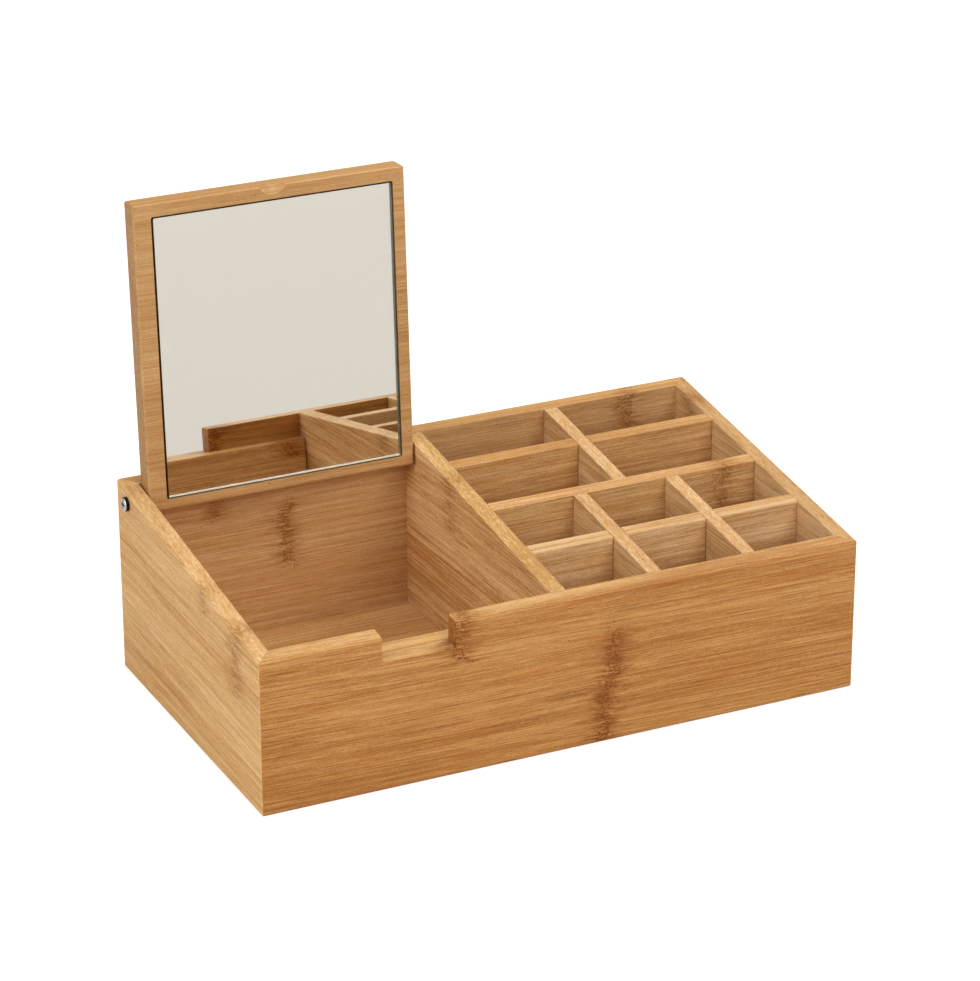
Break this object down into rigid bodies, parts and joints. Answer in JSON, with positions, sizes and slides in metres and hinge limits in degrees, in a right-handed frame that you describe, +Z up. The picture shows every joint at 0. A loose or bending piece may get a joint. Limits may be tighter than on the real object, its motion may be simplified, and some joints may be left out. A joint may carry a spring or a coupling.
{
  "type": "vanity box with mirror",
  "caption": "Low wooden box with a sloping rim. A hinged lid with a mirror inside covers the left compartment, beside small open cells for jewellery or cosmetics.",
  "frame": {"origin": "centre of the box's underside, on the plane that it stands on", "axes": "+X along the width, to the right as seen from the front; +Y from the low front to the high rear; +Z up"},
  "size_m": [0.3023, 0.1704, 0.2323],
  "materials": {
    "bamboo": "satin clear lacquer",
    "bamboo_light": "satin clear lacquer",
    "mirror": "silvered behind clear glass",
    "foam_tape": "white foam",
    "screw_steel": "bright zinc"
  },
  "bodies": {
    "box": {"front_panel": "bamboo", "rear_panel": "bamboo", "left_panel": "bamboo_light", "right_panel": "bamboo_light", "bottom_panel": "bamboo", "partition": "bamboo_light", "lid_rest_strip": "bamboo_light", "cross_divider_rear": "bamboo_light", "cross_divider_middle": "bamboo_light", "cross_divider_front": "bamboo_light", "long_divider_rear": "bamboo", "long_divider_front_left": "bamboo", "long_divider_front_right": "bamboo"},
    "lid": {"lid_board": "bamboo", "mirror_glass": "mirror", "mirror_tape_left": "foam_tape", "mirror_tape_middle": "foam_tape", "mirror_tape_right": "foam_tape", "hinge_screw_left": "screw_steel", "hinge_screw_right": "screw_steel"}
  },
  "joints": [
    {"name": "lid_hinge", "type": "hinge", "parent": "box", "child": "lid", "pos_m": [-0.0736, 0.07155, 0.08921], "axis": [1, 0, 0], "range_deg": [0, 100.96]}
  ]
}
